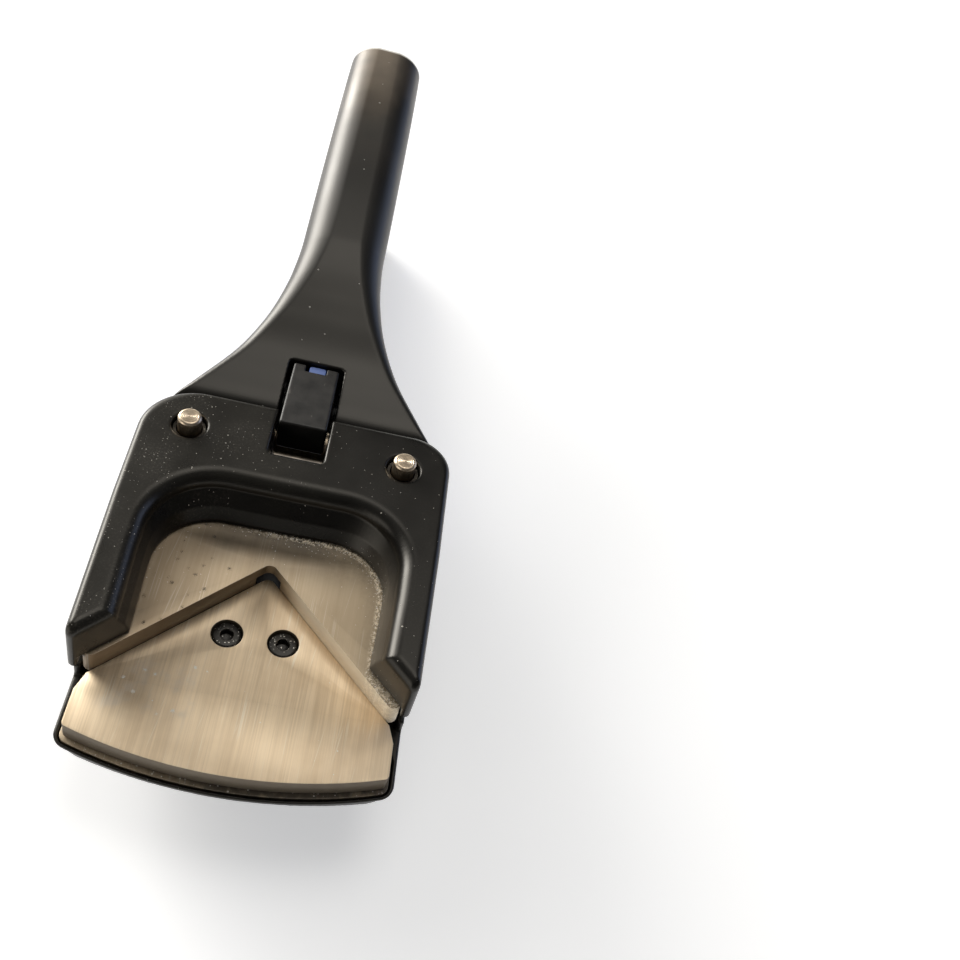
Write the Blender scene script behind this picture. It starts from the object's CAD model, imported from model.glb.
import math
from functools import reduce

import bmesh
import bpy
from mathutils import Matrix, Vector


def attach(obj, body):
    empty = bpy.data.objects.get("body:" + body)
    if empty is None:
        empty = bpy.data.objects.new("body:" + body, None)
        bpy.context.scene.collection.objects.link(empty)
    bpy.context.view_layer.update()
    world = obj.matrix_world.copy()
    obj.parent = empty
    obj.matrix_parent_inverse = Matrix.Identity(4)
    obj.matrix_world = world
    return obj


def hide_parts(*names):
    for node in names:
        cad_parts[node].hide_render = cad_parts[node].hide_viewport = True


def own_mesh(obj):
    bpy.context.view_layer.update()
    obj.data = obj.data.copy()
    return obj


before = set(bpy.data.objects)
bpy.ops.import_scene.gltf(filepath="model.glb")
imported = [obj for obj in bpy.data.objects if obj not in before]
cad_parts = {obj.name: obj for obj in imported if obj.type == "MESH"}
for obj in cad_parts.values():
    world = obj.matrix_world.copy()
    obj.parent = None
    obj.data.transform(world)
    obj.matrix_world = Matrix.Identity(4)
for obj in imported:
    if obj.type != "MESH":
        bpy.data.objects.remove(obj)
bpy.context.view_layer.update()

# ---------------------------------------------------------------- driving dimensions (mm)
HEEL_FRONT, HEEL_REAR = 21.0, 37.0
ORIGIN_Y = (HEEL_FRONT + HEEL_REAR) / 2
CLEAR = 0.3              # gap between neighbouring pieces
SIDES = ((-1, "left"), (1, "right"))

# heights
Z_FRAME = 50.0           # top of the sliding frame
Z_V_TOP = 38.0           # top of the V plate, which is the pocket's floor
Z_V_BOTTOM = 31.0
Z_TABLE = 32.0           # work face
T_TABLE = 5.2
Z_LOWER = 26.5           # top of the lower plate
T_LOWER = 1.7
Z_DECK = 26.2            # rim and deck of the base
Z_NECK = 40.0            # top of the neck, where the palm handle sits
STROKE = 4.398           # frame travel at full squeeze

# plan of the head
HEAD_W = 38.8            # half width of the base
FRONT_Y = -56.5
FRONT_R = 120.0          # radius of every bowed front edge
FRAME_W = 40.5
FRAME_REAR = 41.7
V_W = 36.6
V_REAR = 14.4
BLADE_R = 2.0            # the radius that the tool cuts
TABLE_W = 36.6
TABLE_FRONT = -54.3
LOWER_W = 37.3
LOWER_FRONT = -55.4
NOTCH_W = 7.2
NOTCH_Y = 25.0
POST_X, POST_Y, POST_R = 27.9, 29.2, 3.0
POST_TOP = 53.0
SCREW_X, SCREW_Y = 6.8, -18.5

# lever
PIVOT_Y, PIVOT_Z = 61.0, 21.0
PIVOT = (0, PIVOT_Y, PIVOT_Z)
AXLE_R = 4.0
BUSH_R = AXLE_R + 0.2    # running fit round the axle
HUB_R = 10.0
HUB_W = 8.6
SQUEEZE = math.radians(18.0)
ROLLER_Y, ROLLER_Z, ROLLER_R = 47.0, 31.5, 4.5
ROLLER = (0, ROLLER_Y, ROLLER_Z)
NOSE_W = 6.3
NOSE_FRONT, NOSE_REAR, NOSE_TOP = 36.0, 59.0, 50.7
SLOT_W = 13.7            # half width of the opening between the neck's cheeks
PIN_R, PIN_HOLE_R = 2.0, 2.2
RIVETS = ((82.0, 13.2, "front"), (98.0, 11.6, "rear"))    # y, z

# handles
HANDLE_START, HANDLE_END = 42.4, 191.5
LEVER_START, LEVER_END = 72.6, 188.0
HANDLE_END_R = 4.0       # rounding of both handles' rear ends
SPLIT_Y = 84.0
DOWEL = (0, PIVOT_Y, 33.8)    # dowels that hold the palm handle's ribs between the cheeks
LINER_SCREWS = ((125.0, "front"), (169.0, "rear"))        # y

ROUND = 120              # facets of a large round piece
SMALL = 56               # facets of a small round piece


# ---------------------------------------------------------------- outlines
def fillet(corners, steps=12):
    """Closed outline from (x, y, radius) corners; a corner with a radius becomes an arc."""
    outline = []
    for i, (x, y, radius) in enumerate(corners):
        if radius <= 0:
            outline.append((x, y))
            continue
        corner = Vector((x, y))
        back = (Vector(corners[i - 1][:2]) - corner).normalized()
        ahead = (Vector(corners[(i + 1) % len(corners)][:2]) - corner).normalized()
        half = back.angle(ahead) / 2
        reach = radius / math.tan(half)
        centre = corner + (back + ahead).normalized() * (radius / math.sin(half))
        start = corner + back * reach - centre
        end = corner + ahead * reach - centre
        first = math.atan2(start.y, start.x)
        turn = math.atan2(start.x * end.y - start.y * end.x, start.dot(end))
        for k in range(steps + 1):
            angle = first + turn * k / steps
            outline.append((centre.x + radius * math.cos(angle),
                            centre.y + radius * math.sin(angle)))
    return outline


def mirrored(corners):
    """Left-hand copies of right-hand corners, in the order that closes the outline."""
    return [(-x, y, radius) for x, y, radius in reversed(corners)]


def rounded_box(half, low, high, low_radius, high_radius, steps=12):
    return fillet([(-half, low, low_radius), (half, low, low_radius),
                   (half, high, high_radius), (-half, high, high_radius)], steps)


def front_y(front, x):
    """Y of the bowed front edge at x, where front is its foremost y."""
    return front + FRONT_R - math.sqrt(FRONT_R * FRONT_R - x * x)


def front_arc(front, reach, steps=32):
    """Corners of the bowed front edge, from left to right."""
    across = [-reach + 2 * reach * i / steps for i in range(steps + 1)]
    return [(x, front_y(front, x), 0) for x in across]


def circle(radius, count):
    angles = [2 * math.pi * i / count for i in range(count)]
    return [(radius * math.cos(angle), radius * math.sin(angle)) for angle in angles]


def hexagon(x, y, radius, turn=0.0):
    angles = [turn + math.pi * k / 3 for k in range(6)]
    return [(x + radius * math.cos(angle), y + radius * math.sin(angle)) for angle in angles]


def smooth_table(rows, x):
    """Values at x on a smooth curve through the (x, value...) rows."""
    if x <= rows[0][0]:
        return list(rows[0][1:])
    if x >= rows[-1][0]:
        return list(rows[-1][1:])
    last = len(rows) - 1
    i = max(k for k in range(last) if rows[k][0] <= x)
    width = rows[i + 1][0] - rows[i][0]
    t = (x - rows[i][0]) / width

    def secant(k, column):
        return (rows[k + 1][column] - rows[k][column]) / (rows[k + 1][0] - rows[k][0])

    def slope(k, column):
        if k in (0, last):
            return secant(min(k, last - 1), column)
        before, after = secant(k - 1, column), secant(k, column)
        return 0.0 if before * after <= 0 else 2 * before * after / (before + after)

    return [
        (2 * t**3 - 3 * t**2 + 1) * rows[i][column]
        + (t**3 - 2 * t**2 + t) * (slope(i, column) * width)
        + (-2 * t**3 + 3 * t**2) * rows[i + 1][column]
        + (t**3 - t**2) * (slope(i + 1, column) * width)
        for column in range(1, len(rows[0]))
    ]


def at_height(outline, z):
    return [(x, y, z) for x, y in outline]


# ---------------------------------------------------------------- solids, still in mm
def link(mesh, name):
    """Turns a bmesh into an object in the scene."""
    data = bpy.data.meshes.new(name)
    mesh.to_mesh(data)
    mesh.free()
    part = bpy.data.objects.new(name, data)
    bpy.context.scene.collection.objects.link(part)
    return part


def solid(mesh, name="piece"):
    bmesh.ops.recalc_face_normals(mesh, faces=mesh.faces[:])
    return link(mesh, name)


def bridge(mesh, first, second):
    """Faces between two rings of vertices; a ring of one vertex is a pole."""
    count = max(len(first), len(second))
    for i in range(count):
        j = (i + 1) % count
        if len(first) == 1:
            mesh.faces.new((first[0], second[i], second[j]))
        elif len(second) == 1:
            mesh.faces.new((first[i], first[j], second[0]))
        else:
            mesh.faces.new((first[i], first[j], second[j], second[i]))


def loft(rings):
    """Closed solid through rings of equal point count, capped at both ends."""
    mesh = bmesh.new()
    rows = [[mesh.verts.new(point) for point in points] for points in rings]
    for first, second in zip(rows, rows[1:]):
        bridge(mesh, first, second)
    mesh.faces.new(rows[0])
    mesh.faces.new(rows[-1])
    return solid(mesh)


def prism(outline, z0, z1):
    return loft([at_height(outline, z0), at_height(outline, z1)])


def prism_x(outline, x0, x1):
    """Solid whose side view is the (y, z) outline, from x0 to x1."""
    return loft([[(x, y, z) for y, z in outline] for x in (x0, x1)])


def block(x0, x1, y0, y1, z0, z1):
    return prism([(x0, y0), (x1, y0), (x1, y1), (x0, y1)], z0, z1)


AXES = {
    "Z": Matrix.Identity(4),
    "X": Matrix.Rotation(math.pi / 2, 4, "Y"),
    "-X": Matrix.Rotation(-math.pi / 2, 4, "Y"),
}


def place(part, axis, at):
    """Turns a part built along Z onto its axis and moves it to its place."""
    part.data.transform(Matrix.Translation(at) @ AXES[axis])
    return part


def turned(profile, facets, axis="Z", at=(0, 0, 0), closed=False):
    """Solid of revolution from a (radius, height) profile that starts and ends on the axis,
    or, if closed, a ring whose profile is a loop clear of the axis."""
    mesh = bmesh.new()
    rows = []
    for radius, height in profile:
        points = circle(radius, facets) if radius > 1e-9 else [(0, 0)]
        rows.append([mesh.verts.new((x, y, height)) for x, y in points])
    for first, second in zip(rows, rows[1:] + rows[:1] if closed else rows[1:]):
        bridge(mesh, first, second)
    return place(solid(mesh), axis, at)


def rod(radius, z0, z1, facets=SMALL, axis="Z", at=(0, 0, 0)):
    return turned([(0, z0), (radius, z0), (radius, z1), (0, z1)], facets, axis, at)


def pin(z0, z1, axis, at, chamfer=0.3):
    """Pin with chamfered ends."""
    face = PIN_R - chamfer
    return turned([(0, z0), (face, z0), (PIN_R, z0 + chamfer),
                   (PIN_R, z1 - chamfer), (face, z1), (0, z1)], 48, axis, at)


def pin_hole(at, reach=20):
    """Cutter for a pin that runs along X."""
    return rod(PIN_HOLE_R, -reach, reach, 32, "X", at)


def coil(radius, wire, z0, z1, turns, turn_steps, sides, axis, at):
    """Helix of round wire of radius wire, with flat ends."""
    steps = int(turns * turn_steps)
    centres = []
    for k in range(steps + 1):
        angle = 2 * math.pi * k / turn_steps
        z = z0 + wire + (z1 - z0 - 2 * wire) * k / steps
        centres.append(Vector((radius * math.cos(angle), radius * math.sin(angle), z)))
    angles = [2 * math.pi * i / sides for i in range(sides)]
    rings = []
    for k, centre in enumerate(centres):
        ahead = (centres[min(k + 1, steps)] - centres[max(k - 1, 0)]).normalized()
        side = ahead.cross(Vector((0, 0, 1))).normalized()
        up = side.cross(ahead).normalized()
        rings.append([centre + (side * math.cos(angle) + up * math.sin(angle)) * wire
                      for angle in angles])
    return place(loft(rings), axis, at)


# ---------------------------------------------------------------- combining solids
def settle(part):
    """Keeps the evaluated mesh and drops the modifiers."""
    graph = bpy.context.evaluated_depsgraph_get()
    data = bpy.data.meshes.new_from_object(part.evaluated_get(graph), depsgraph=graph)
    part.modifiers.clear()
    old = part.data
    part.data = data
    bpy.data.meshes.remove(old)


def combine(part, other, operation):
    boolean = part.modifiers.new("bool", "BOOLEAN")
    boolean.operation = operation
    boolean.solver = "EXACT"
    boolean.object = other
    settle(part)
    bpy.data.objects.remove(other, do_unlink=True)


def cut(part, *others):
    for other in others:
        combine(part, other, "DIFFERENCE")


def join(part, *others):
    for other in others:
        combine(part, other, "UNION")


def merge(pieces):
    """Gathers separate solids into one cutter."""
    mesh = bmesh.new()
    for part in pieces:
        mesh.from_mesh(part.data)
        bpy.data.objects.remove(part, do_unlink=True)
    return link(mesh, "cutter")


def soften(part, width, segments=2, angle=40):
    """Bevels the edges sharper than angle."""
    bevel = part.modifiers.new("bevel", "BEVEL")
    bevel.width = width
    bevel.segments = segments
    bevel.limit_method = "ANGLE"
    bevel.angle_limit = math.radians(angle)
    bevel.use_clamp_overlap = True
    settle(part)


def cast(part, voxel, smooth):
    """Gives a piece the small rounded edges of a casting: fine remesh, then relaxed."""
    remesh = part.modifiers.new("remesh", "REMESH")
    remesh.mode = "VOXEL"
    remesh.voxel_size = voxel
    remesh.use_smooth_shade = True
    relax = part.modifiers.new("relax", "SMOOTH")
    relax.factor = 0.5
    relax.iterations = smooth
    settle(part)


def piece(part, node, body, finish, sharp=32.0):
    """Moves the part into the row frame and hangs it on its CAD body.

    finish is (material, slot); edges steeper than sharp degrees stay sharp, 0 smooths all.
    """
    material, slot = finish
    mesh = bmesh.new()
    mesh.from_mesh(part.data)
    bmesh.ops.remove_doubles(mesh, verts=mesh.verts[:], dist=0.0005)
    bmesh.ops.dissolve_degenerate(mesh, edges=mesh.edges[:], dist=0.0005)
    mesh.to_mesh(part.data)
    mesh.free()
    part.data.transform(Matrix.Scale(0.001, 4) @ Matrix.Translation((0, -ORIGIN_Y, 0)))
    part.name = node + "_fine"
    part.data.name = node + "_fine"
    part.data.materials.clear()
    part.data.materials.append(material)
    part.data.shade_smooth()
    if sharp:
        part.data.set_sharp_from_angle(angle=math.radians(sharp))
    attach(part, body)
    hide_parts(node)


# ---------------------------------------------------------------- shader nodes
def feed(tree, socket, value):
    """Links a socket to another, or gives it a plain value."""
    if isinstance(value, bpy.types.NodeSocket):
        tree.links.new(value, socket)
    else:
        socket.default_value = value


def add(tree, kind, inputs=None, **settings):
    node = tree.nodes.new(kind)
    for name, value in settings.items():
        setattr(node, name, value)
    for name, value in (inputs or {}).items():
        feed(tree, node.inputs[name], value)
    return node


def shade(colour, factor):
    return tuple(value * factor for value in colour)


class Surface:
    """A Principled material whose colour is laid on in coats. Lengths are metres."""

    def __init__(self, name, rough, metal=0.0):
        self.material = bpy.data.materials.new(name)
        self.material.use_nodes = True
        self.tree = self.material.node_tree
        self.shader = self.tree.nodes["Principled BSDF"]
        self.put("Roughness", rough)
        self.put("Metallic", metal)
        self.coords = self.add("TexCoord").outputs["Object"]

    def add(self, kind, inputs=None, **settings):
        return add(self.tree, "ShaderNode" + kind, inputs, **settings)

    def put(self, name, value):
        feed(self.tree, self.shader.inputs[name], value)

    def position(self):
        return self.add("SeparateXYZ", {0: self.coords}).outputs

    def normal(self):
        normal = self.add("NewGeometry").outputs["Normal"]
        return self.add("SeparateXYZ", {0: normal}).outputs

    def calc(self, operation, a, b=0.0, clamp=False):
        return self.add("Math", {0: a, 1: b}, operation=operation, use_clamp=clamp).outputs[0]

    def times(self, *factors):
        return reduce(lambda a, b: self.calc("MULTIPLY", a, b), factors)

    def most(self, *values):
        return reduce(lambda a, b: self.calc("MAXIMUM", a, b), values)

    def band(self, value, over, to=(0.0, 1.0)):
        """Smooth step from to[0] to to[1] as value goes over the range."""
        return self.add(
            "MapRange",
            {"Value": value, "From Min": over[0], "From Max": over[1],
             "To Min": to[0], "To Max": to[1]},
            interpolation_type="SMOOTHSTEP", clamp=True,
        ).outputs["Result"]

    def vector(self, operation, inputs):
        return self.add("VectorMath", inputs, operation=operation).outputs[0]

    def stretch(self, along_y, vector=None):
        """Coordinates scaled along Y; a small scale draws a noise out front to back."""
        return self.vector("MULTIPLY", {0: vector or self.coords, 1: (1.0, along_y, 1.0)})

    def noise(self, scale, detail=2.0, rough=0.5, vector=None):
        return self.add("TexNoise", {"Vector": vector or self.coords, "Scale": scale,
                                     "Detail": detail, "Roughness": rough}).outputs[0]

    def mix(self, mask, low, high):
        """Sets the colour to a mix of two: low where the mask is 0, high where it is 1."""
        low, high = [colour if isinstance(colour, bpy.types.NodeSocket) else (*colour, 1.0)
                     for colour in (low, high)]
        self.tone = self.add("Mix", {0: mask, 6: low, 7: high}, data_type="RGBA").outputs[2]

    def cover(self, mask, colour, strength=None):
        """Lays a coat over the colour so far."""
        if strength is not None:
            mask = self.times(mask, strength)
        self.mix(mask, self.tone, colour)

    def specks(self, pitch, radius, keep, mask, wobble=0.35, dims="2D"):
        """Scattered flecks about a pitch apart; keep is the share of cells that hold one."""
        jitter = self.add("TexNoise", {"Vector": self.coords, "Scale": 2.2 / radius,
                                       "Detail": 1.0}).outputs["Color"]
        offset = self.vector("SUBTRACT", {0: jitter, 1: (0.5, 0.5, 0.5)})
        offset = self.vector("SCALE", {0: offset, "Scale": radius * wobble * 4})
        moved = self.vector("ADD", {0: self.coords, 1: offset})
        cells = self.add("TexVoronoi", {"Vector": moved, "Scale": 1.0 / pitch},
                         voronoi_dimensions=dims)
        chance = self.add("SeparateColor", {0: cells.outputs["Color"]}).outputs
        # each fleck is 0.35 to 1.15 of the radius
        size = self.add("Math", {0: chance[1], 1: 0.8, 2: 0.35}, operation="MULTIPLY_ADD")
        reach = self.times(size.outputs[0], radius / pitch)
        inside = self.calc("LESS_THAN", cells.outputs["Distance"], reach)
        share = self.times(mask, keep)
        return self.times(inside, self.calc("LESS_THAN", chance[0], share))

    def worn(self, radius, over=(0.05, 0.35)):
        """1 on convex and concave edges, 0 on flats."""
        bevel = self.add("Bevel", {"Radius": radius}, samples=4).outputs[0]
        normal = self.add("NewGeometry").outputs["Normal"]
        dot = self.add("VectorMath", {0: bevel, 1: normal}, operation="DOT_PRODUCT")
        return self.band(self.calc("SUBTRACT", 1.0, dot.outputs["Value"]), over)

    def finish(self, height, depth, strength=1.0):
        """Connects the colour and the bump and returns the material."""
        self.put("Base Color", self.tone)
        self.put("Normal", self.add("Bump", {"Height": height, "Distance": depth,
                                             "Strength": strength}).outputs[0])
        return self.material


# ---------------------------------------------------------------- materials
DUSTY = 0.3              # a casting with more dust than this also has grit in its right half


def casting(name, base, dust, rough=0.30, peel_depth=0.000014):
    """Satin black paint: fine orange peel, rubbed edges and light dust on upward faces."""
    s = Surface(name, rough)
    x, y, z = s.position()
    normal_z = s.normal()[2]
    cloud = s.noise(scale=45.0, detail=3.0, rough=0.6)
    peel = s.noise(scale=900.0, detail=3.0, rough=0.6)
    up = s.band(normal_z, over=(-0.2, 0.55))
    left = s.band(x, over=(0.016, -0.034), to=(0.22, 1.0))
    patch = s.band(s.noise(scale=90.0), over=(0.36, 0.62), to=(0.25, 1.0))
    dusty = s.times(up, left, patch)
    level = s.times(dusty, s.band(normal_z, over=(0.45, 0.75)))
    grit = 0.0
    if dust > DUSTY:
        # grit low on the pocket's right wall
        grit = s.times(
            s.band(z, over=(0.0435, 0.0384)), s.band(y, over=(-0.004, -0.014)),
            s.times(s.band(x, over=(0.010, 0.022)), s.band(x, over=(0.0378, 0.0362)),
                    s.band(z, over=(0.0372, 0.0378))))
        grit = s.specks(pitch=0.00055, radius=0.00013, keep=0.55, mask=grit, dims="3D")
    small = s.specks(pitch=0.0010, radius=0.00010, keep=dust * 0.8, mask=level)
    large = s.specks(pitch=0.0030, radius=0.00019, keep=dust * 0.30, mask=level)
    flecks = s.most(grit, s.most(small, large))

    s.mix(s.band(cloud, over=(0.3, 0.7)), shade(base, 0.8), shade(base, 1.25))
    haze = s.times(up, s.band(x, over=(0.020, -0.010)),
                   s.band(z, over=(0.046, 0.0495), to=(0.25, 1.0)),
                   s.band(s.noise(scale=130.0, detail=3.0, rough=0.6),
                          over=(0.3, 0.7), to=(0.6, 1.0)))
    s.cover(haze, colour=(0.0165, 0.0152, 0.0122))
    s.cover(s.worn(0.0005), strength=0.30, colour=(0.085, 0.078, 0.068))
    if dust > DUSTY:
        settled = s.times(
            s.band(z, over=(0.0475, 0.0400)), s.band(y, over=(-0.010, -0.026)),
            s.times(s.band(x, over=(0.012, 0.024)), s.band(x, over=(0.0378, 0.0362))))
        s.cover(settled, strength=0.55, colour=(0.105, 0.094, 0.078))
    powder = s.band(s.noise(scale=1900.0, rough=0.7), over=(0.48, 0.70))
    s.cover(s.times(dusty, powder), strength=0.09 * min(dust * 4, 1.0),
            colour=(0.40, 0.36, 0.29))
    faded = s.band(s.noise(scale=700.0, detail=1.0), over=(0.35, 0.65), to=(0.30, 1.0))
    s.cover(s.times(flecks, faded), colour=(0.78, 0.73, 0.64))

    gloss = s.band(cloud, over=(0.25, 0.75), to=(rough - 0.05, rough + 0.06))
    s.put("Roughness", s.calc("ADD", gloss, s.times(flecks, 0.4), clamp=True))
    s.put("Specular IOR Level", 0.38)
    s.put("Specular Tint", (1.0, 0.95, 0.86, 1.0))
    relief = s.calc("ADD", s.times(peel, 0.5), s.times(flecks, 2.0))
    return s.finish(relief, depth=peel_depth)


def handle_paint(name):
    """Smooth satin black on the palm handle, a little polished by the hand near its end."""
    s = Surface(name, rough=0.34)
    x, y, _ = s.position()
    _, normal_y, normal_z = s.normal()
    cloud = s.noise(scale=28.0, detail=3.0, rough=0.55)
    rubbed = s.times(s.band(y, over=(0.085, 0.155)),
                     s.band(s.noise(scale=60.0), over=(0.36, 0.62)))
    flecks = s.specks(pitch=0.006, radius=0.00024, keep=0.12,
                      mask=s.band(normal_z, over=(0.55, 0.80)))
    s.mix(s.band(cloud, over=(0.3, 0.7)), (0.0070, 0.0064, 0.0054), (0.0110, 0.0100, 0.0085))
    s.cover(rubbed, strength=0.75, colour=(0.058, 0.046, 0.034))
    # tan wear along the top, then a pale rim round the rear end
    tan = s.times(
        s.band(y, over=(0.110, 0.166)),
        s.times(s.band(x, over=(0.0085, 0.000)), s.band(normal_z, over=(0.5, 0.85))),
        s.band(s.noise(scale=75.0), over=(0.25, 0.65), to=(0.55, 0.95)))
    s.cover(tan, colour=(0.29, 0.235, 0.175))
    rim = s.times(
        s.band(normal_y, over=(-0.05, 0.12)),
        s.times(s.band(normal_z, over=(0.45, 0.65)), s.band(y, over=(0.14, 0.155))))
    bare_strength = 0.75
    bare = s.times(
        s.band(y, over=(0.1598, 0.1608)), s.band(x, over=(-0.004, -0.001)),
        s.band(x, over=(0.0110, 0.0085)), s.band(normal_z, over=(0.45, 0.65)), bare_strength)
    s.cover(s.most(rim, bare), colour=(0.70, 0.68, 0.62))
    s.cover(s.worn(0.0006), strength=0.25, colour=(0.12, 0.11, 0.10))
    s.cover(flecks, strength=0.7, colour=(0.6, 0.58, 0.53))
    gloss = s.band(cloud, over=(0.25, 0.75), to=(0.33, 0.40))
    s.put("Roughness", s.calc("SUBTRACT", gloss, s.times(rubbed, 0.05), clamp=True))
    s.put("Specular IOR Level", 0.5)
    s.put("Specular Tint", (1.0, 0.955, 0.87, 1.0))
    return s.finish(s.noise(scale=1400.0), depth=0.000008)


def v_plate_dirt(s, normal_z, flat):
    """Dust along the foot of the pocket wall, most at the right rear; dark chips at the left."""
    x, y, _ = s.position()
    s.cover(0.32, colour=(0.26, 0.185, 0.105))
    # distance beyond the inner rectangle that the pocket wall rounds
    core_x, core_y = 0.0134, -0.035
    beyond_x = s.most(s.calc("SUBTRACT", s.calc("ABSOLUTE", x), core_x), 0.0)
    beyond_y = s.most(s.calc("SUBTRACT", y, core_y), 0.0)
    far = s.calc("SQRT", s.calc("ADD", s.times(beyond_x, beyond_x),
                                s.times(beyond_y, beyond_y)))
    near = s.band(far, over=(0.0085, 0.0149))
    foot = s.band(far, over=(0.0133, 0.0144))
    right = s.band(x, over=(-0.020, 0.014), to=(0.06, 1.0))
    dusty = s.times(near, right, s.band(y, over=(-0.045, -0.030)))
    grit = s.times(dusty, s.band(s.noise(scale=1500.0, detail=3.0, rough=0.75),
                                 over=(0.40, 0.66), to=(0.12, 0.62)))
    s.cover(grit, colour=(0.26, 0.23, 0.17))
    pale = s.times(foot, right, s.band(s.noise(scale=1300.0, detail=3.0, rough=0.8),
                                       over=(0.495, 0.545)))
    s.cover(s.times(near, right), strength=0.45, colour=(0.085, 0.072, 0.052))
    s.cover(pale, colour=(1.0, 0.88, 0.68))
    stray = 0.03    # dust everywhere else
    flecks = s.most(
        s.specks(pitch=0.0010, radius=0.00011, keep=0.75, mask=s.calc("ADD", dusty, stray)),
        s.specks(pitch=0.0007, radius=0.00016, keep=0.8, mask=s.times(foot, right)))
    s.cover(flecks, colour=(1.0, 0.97, 0.90))
    # gloom at the rear, kept off the pale dust
    gloom = s.times(
        s.band(y, over=(-0.0365, -0.0215)),
        s.band(s.noise(scale=70.0, detail=3.0, rough=0.6), over=(0.25, 0.70), to=(0.72, 1.0)))
    clean = s.calc("SUBTRACT", 1.0, s.most(pale, flecks))
    clean = s.times(clean, s.band(x, over=(-0.026, -0.010), to=(0.35, 0.86)))
    s.cover(s.times(gloom, clean), colour=(0.045, 0.040, 0.032))
    chips = s.specks(pitch=0.0040, radius=0.00032, keep=0.70,
                     mask=s.band(x, over=(-0.002, -0.012)), wobble=1.6)
    chips = s.times(chips, flat)
    s.cover(chips, colour=(0.02, 0.018, 0.015))
    dull = s.most(s.most(grit, pale), s.most(flecks, chips))
    # the V's walls: dark on the left, pale on the right
    wall = s.band(normal_z, over=(0.5, 0.2))
    left_strength = 0.72
    left_half = s.times(s.band(x, over=(0.004, -0.006)), left_strength)
    s.cover(s.times(wall, left_half), colour=(0.10, 0.075, 0.052))
    right_wall = s.times(wall, s.band(x, over=(0.002, 0.010)))
    s.cover(right_wall, strength=0.80, colour=(1.0, 0.88, 0.68))
    dull = s.most(dull, s.times(right_wall, 0.60))
    s.cover(s.band(x, over=(-0.010, -0.030)), strength=0.30, colour=(0.36, 0.26, 0.165))
    haze = s.times(s.band(x, over=(0.004, 0.022)), flat,
                   s.band(s.noise(scale=800.0, rough=0.6), over=(0.25, 0.75), to=(0.30, 0.55)))
    s.cover(haze, colour=(0.52, 0.41, 0.27))
    return s.most(dull, s.times(haze, 0.6))


def table_dirt(s, normal_z, flat):
    """Chips and a smear in a spot at the front left, and dark walls."""
    x, y, _ = s.position()
    spot_x, spot_y = -0.020, -0.0655
    spot = s.times(
        s.band(s.calc("ABSOLUTE", s.calc("ADD", x, -spot_x)), over=(0.014, 0.006)),
        s.band(s.calc("ABSOLUTE", s.calc("ADD", y, -spot_y)), over=(0.010, 0.004)), flat)
    flecks = s.most(
        s.specks(pitch=0.0030, radius=0.00042, keep=0.42, mask=spot, wobble=0.9),
        s.specks(pitch=0.0048, radius=0.00017, keep=0.16, mask=flat))
    s.cover(flecks, colour=(0.90, 0.86, 0.78))
    smear = s.times(spot, s.band(s.noise(scale=160.0, detail=3.0, rough=0.6),
                                 over=(0.45, 0.7)))
    s.cover(smear, strength=0.35, colour=(0.66, 0.63, 0.58))
    s.cover(s.band(normal_z, over=(0.45, 0.2)), strength=0.86, colour=(0.035, 0.030, 0.025))
    return s.most(flecks, s.times(smear, 0.35))


def lower_dirt(s, normal_z, flat):
    """Grime that thickens to the right, under pale flecks."""
    x = s.position()[0]
    flecks = s.specks(pitch=0.0012, radius=0.00020, keep=0.5, mask=flat)
    grime = s.times(
        s.band(x, over=(-0.030, 0.004), to=(0.25, 0.90)),
        s.band(s.noise(scale=420.0, detail=3.0, rough=0.6), over=(0.30, 0.55), to=(0.75, 1.0)))
    s.cover(grime, colour=(0.060, 0.052, 0.042))
    s.cover(flecks, strength=0.8, colour=(0.80, 0.76, 0.68))
    return s.most(flecks, s.times(grime, 0.5))


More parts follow.
